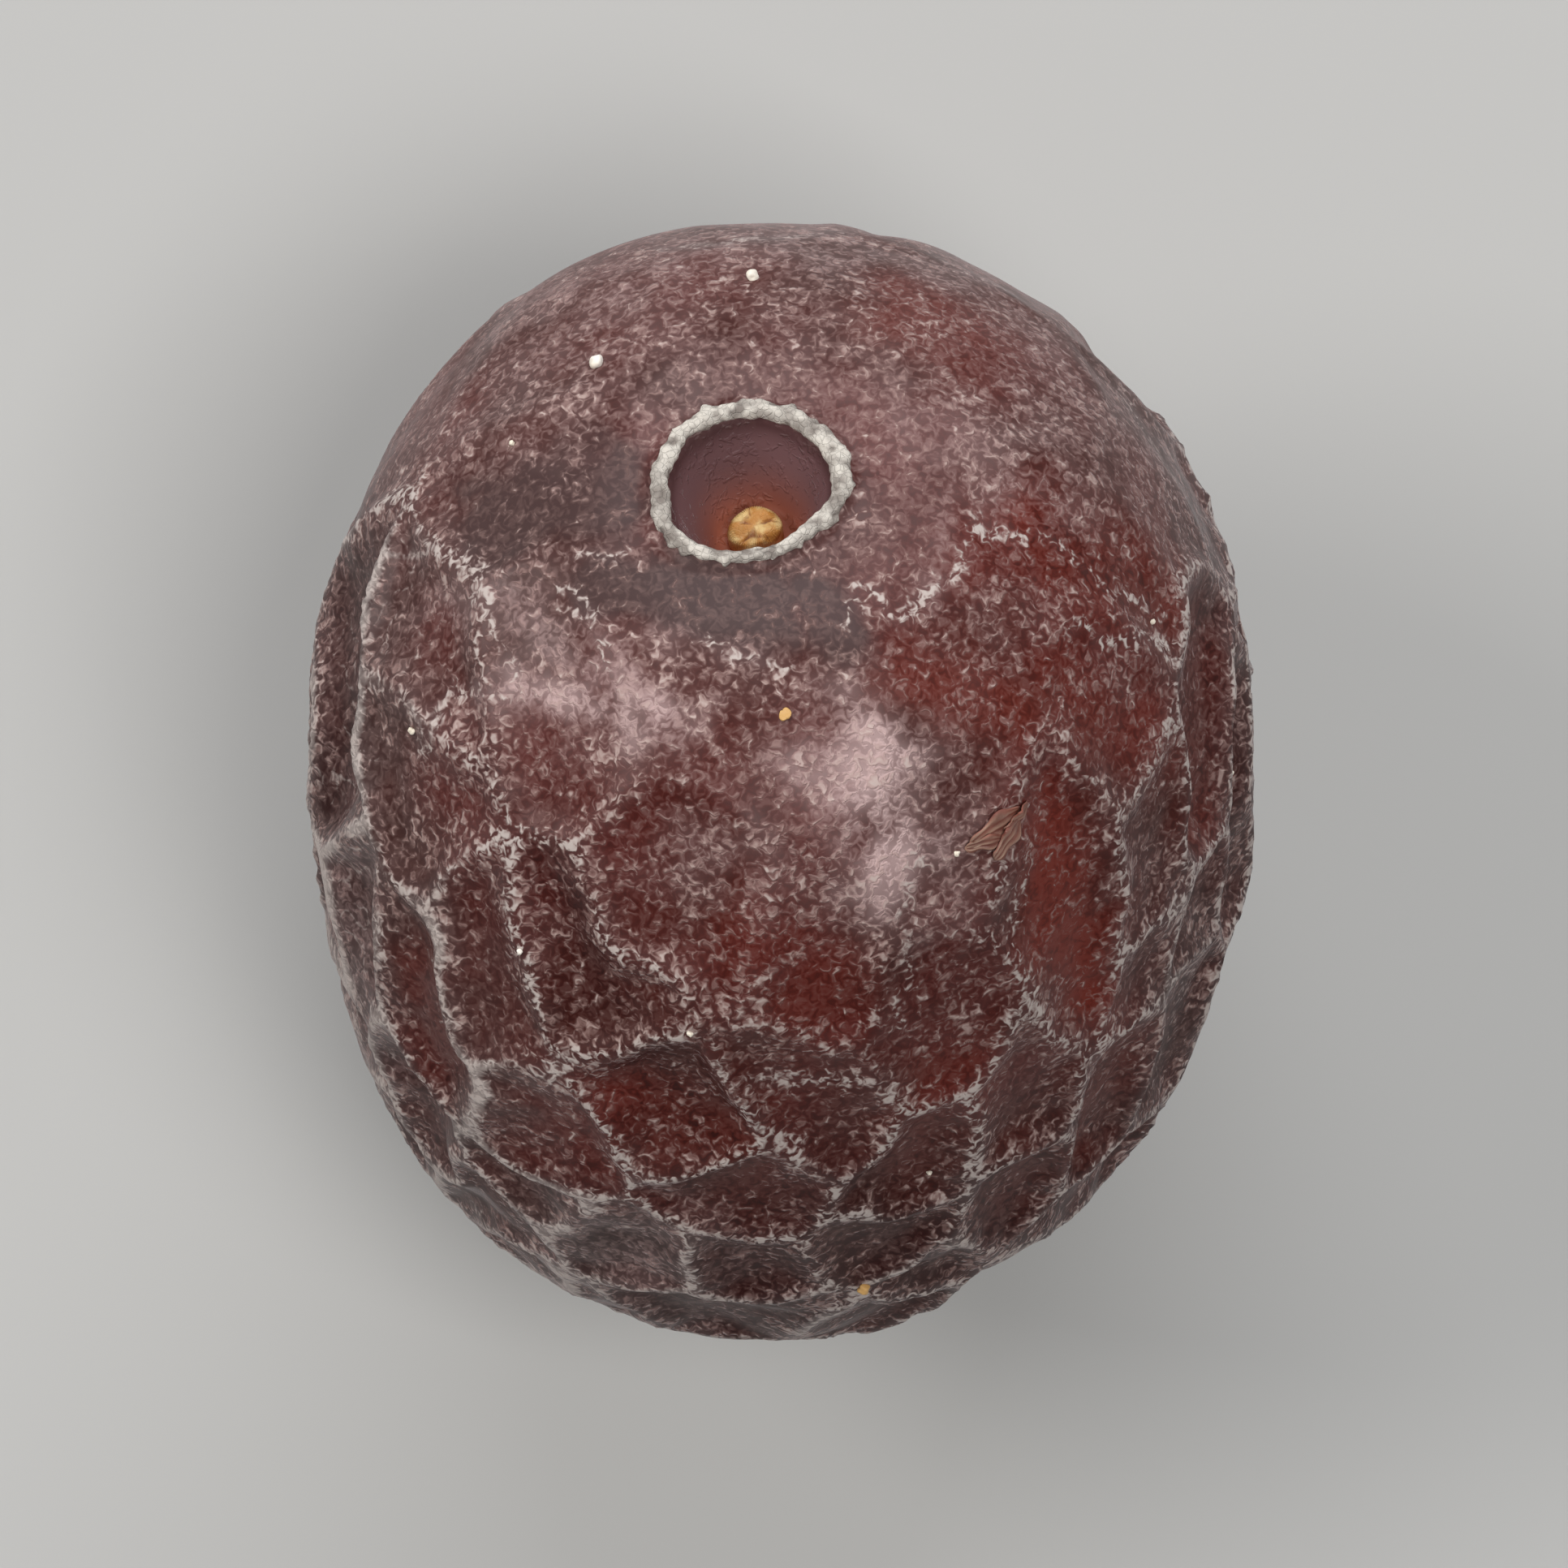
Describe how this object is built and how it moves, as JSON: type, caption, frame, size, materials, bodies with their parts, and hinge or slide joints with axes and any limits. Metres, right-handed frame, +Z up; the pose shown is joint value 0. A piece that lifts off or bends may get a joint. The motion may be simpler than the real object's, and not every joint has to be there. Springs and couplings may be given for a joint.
{
  "type": "dried jujube",
  "caption": "Dried jujube: barrel-shaped, wrinkled fruit with a net of ridges, a stem pit inside a corky ring, a dimpled blossom end and a small flat spot to rest on.",
  "frame": {"origin": "middle of the box's base, in the plane of the flat spot that the fruit rests on", "axes": "+Z up; the stem end is up and leans back toward +Y by 30 degrees, and 5 degrees toward -X"},
  "size_m": [0.0208, 0.0246, 0.0259],
  "materials": {
    "skin": "dark red-brown dried skin with a pale grey-mauve bloom, glossier in the sunken cells"
  },
  "bodies": {
    "root": {"jujube": "skin"}
  },
  "joints": []
}
